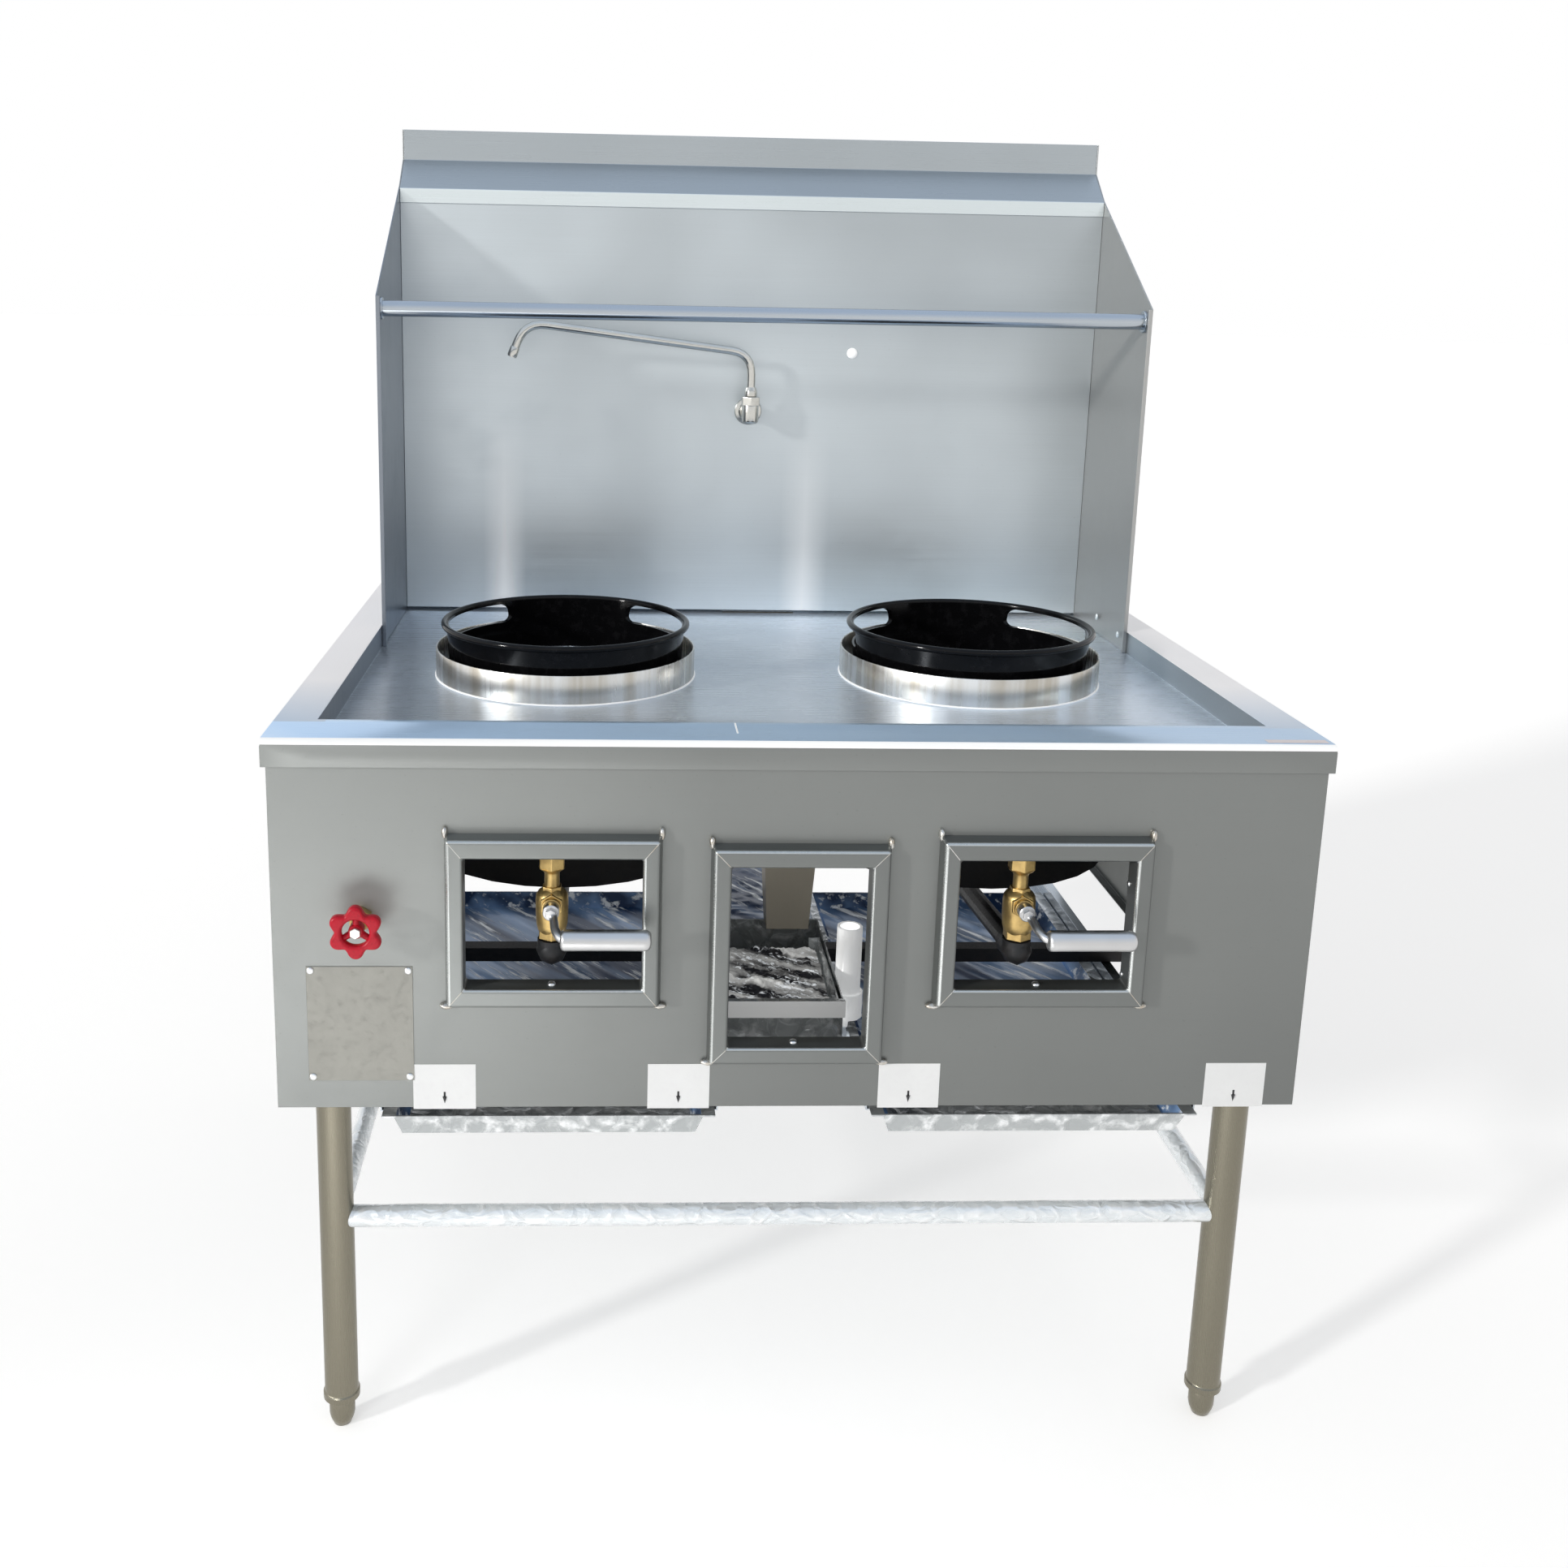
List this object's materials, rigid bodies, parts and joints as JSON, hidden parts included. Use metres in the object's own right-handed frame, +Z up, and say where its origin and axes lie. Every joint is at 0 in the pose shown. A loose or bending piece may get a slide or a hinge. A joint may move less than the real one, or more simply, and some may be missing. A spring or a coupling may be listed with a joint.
{
  "type": "wok range",
  "caption": "Free-standing gas wok range: recessed deck with raised collars and lift-off wok rings, hollow flue splash with side wings, pot rail and swing faucet, framed windows and tube legs.",
  "frame": {"origin": "on the floor, under the middle of the width and of the depth from the lever grips to the pipe ends", "axes": "+Z up, +X to the right as seen from the front, +Y from the front towards the splash"},
  "size_m": [1.219, 1.037, 1.641],
  "materials": {
    "sheet_steel": "brushed stainless sheet",
    "tube_steel": "satin stainless tube",
    "galvanised": "film-wrapped bright sheet and tube",
    "black_enamel": "glossy black enamel",
    "black_iron": "black pipe",
    "cast_iron": "rough casting",
    "brass": "plain brass",
    "chrome": "bright plated",
    "red_paint": "gloss red paint",
    "white_plastic": "white pipe"
  },
  "bodies": {
    "range_body": {"top_deck": "sheet_steel", "front_panel": "sheet_steel", "rear_panel": "galvanised", "window_frame_left": "sheet_steel", "window_frame_center": "sheet_steel", "window_frame_right": "sheet_steel", "side_panel_left": "sheet_steel", "side_panel_right": "sheet_steel", "splash_side_left": "sheet_steel", "splash_side_right": "sheet_steel", "splash_back": "sheet_steel", "flue_casing": "sheet_steel", "flue_cap": "sheet_steel", "leg_front_left": "tube_steel", "leg_front_right": "tube_steel", "leg_rear_left": "tube_steel", "leg_rear_right": "tube_steel", "stretcher_front": "galvanised", "stretcher_rear": "galvanised", "stretcher_left": "galvanised", "stretcher_right": "galvanised", "chassis_rail_front": "black_iron", "chassis_rail_middle": "black_iron", "chassis_rail_rear": "black_iron", "tray_runner_left_outer": "galvanised", "tray_runner_left_inner": "galvanised", "tray_runner_right_outer": "galvanised", "tray_runner_right_inner": "galvanised", "pot_rail": "chrome", "faucet_body": "chrome", "water_valve": "brass", "water_supply_pipe": "chrome", "faucet_pipe": "chrome", "collar_left": "sheet_steel", "collar_right": "sheet_steel", "chamber_left": "cast_iron", "chamber_right": "cast_iron", "burner_left": "cast_iron", "burner_right": "cast_iron", "gas_valve_left": "brass", "gas_valve_right": "brass", "gas_pipe_left": "black_iron", "gas_pipe_right": "black_iron", "gas_manifold": "black_iron", "drain_chute": "sheet_steel", "strainer_box": "galvanised", "drain_pipe": "white_plastic"},
    "wok_ring_left": {"wok_ring_left": "black_enamel"},
    "wok_ring_right": {"wok_ring_right": "black_enamel"},
    "gas_lever_left": {"gas_lever_left": "chrome"},
    "gas_lever_right": {"gas_lever_right": "chrome"},
    "handwheel": {"handwheel": "red_paint"},
    "faucet_spout": {"faucet_spout": "chrome"},
    "drip_tray_left": {"drip_tray_left": "galvanised"},
    "drip_tray_right": {"drip_tray_right": "galvanised"},
    "strainer_basket": {"strainer_basket": "galvanised"},
    "foot_front_left": {"foot_front_left": "tube_steel"},
    "foot_front_right": {"foot_front_right": "tube_steel"},
    "foot_rear_left": {"foot_rear_left": "tube_steel"},
    "foot_rear_right": {"foot_rear_right": "tube_steel"}
  },
  "joints": [
    {"name": "lever_left_turn", "type": "hinge", "parent": "range_body", "child": "gas_lever_left", "pos_m": [-0.286, -0.4615, 0.702], "axis": [0, 1, 0], "range_deg": [0, 90]},
    {"name": "lever_right_turn", "type": "hinge", "parent": "range_body", "child": "gas_lever_right", "pos_m": [0.264, -0.4615, 0.702], "axis": [0, 1, 0], "range_deg": [0, 90]},
    {"name": "water_wheel_turn", "type": "hinge", "parent": "range_body", "child": "handwheel", "pos_m": [-0.502, -0.4965, 0.693], "axis": [0, -1, 0], "range_deg": [0, 1080]},
    {"name": "spout_swing", "type": "hinge", "parent": "range_body", "child": "faucet_spout", "pos_m": [-0.002, 0.3335, 1.238], "axis": [0, 0, 1], "range_deg": [-5, 168]},
    {"name": "ring_left_lift", "type": "slide", "parent": "range_body", "child": "wok_ring_left", "axis": [0, 0, 1], "range_m": [0, 0.12]},
    {"name": "ring_right_lift", "type": "slide", "parent": "range_body", "child": "wok_ring_right", "axis": [0, 0, 1], "range_m": [0, 0.12]},
    {"name": "tray_left_draw", "type": "slide", "parent": "range_body", "child": "drip_tray_left", "axis": [0, -1, 0], "range_m": [0, 0.45]},
    {"name": "tray_right_draw", "type": "slide", "parent": "range_body", "child": "drip_tray_right", "axis": [0, -1, 0], "range_m": [0, 0.45]},
    {"name": "basket_lift", "type": "slide", "parent": "range_body", "child": "strainer_basket", "axis": [0, 0, 1], "range_m": [0, 0.055]},
    {"name": "foot_front_left_screw", "type": "slide", "parent": "range_body", "child": "foot_front_left", "axis": [0, 0, -1], "range_m": [0, 0.025]},
    {"name": "foot_front_right_screw", "type": "slide", "parent": "range_body", "child": "foot_front_right", "axis": [0, 0, -1], "range_m": [0, 0.025]},
    {"name": "foot_rear_left_screw", "type": "slide", "parent": "range_body", "child": "foot_rear_left", "axis": [0, 0, -1], "range_m": [0, 0.025]},
    {"name": "foot_rear_right_screw", "type": "slide", "parent": "range_body", "child": "foot_rear_right", "axis": [0, 0, -1], "range_m": [0, 0.025]}
  ]
}
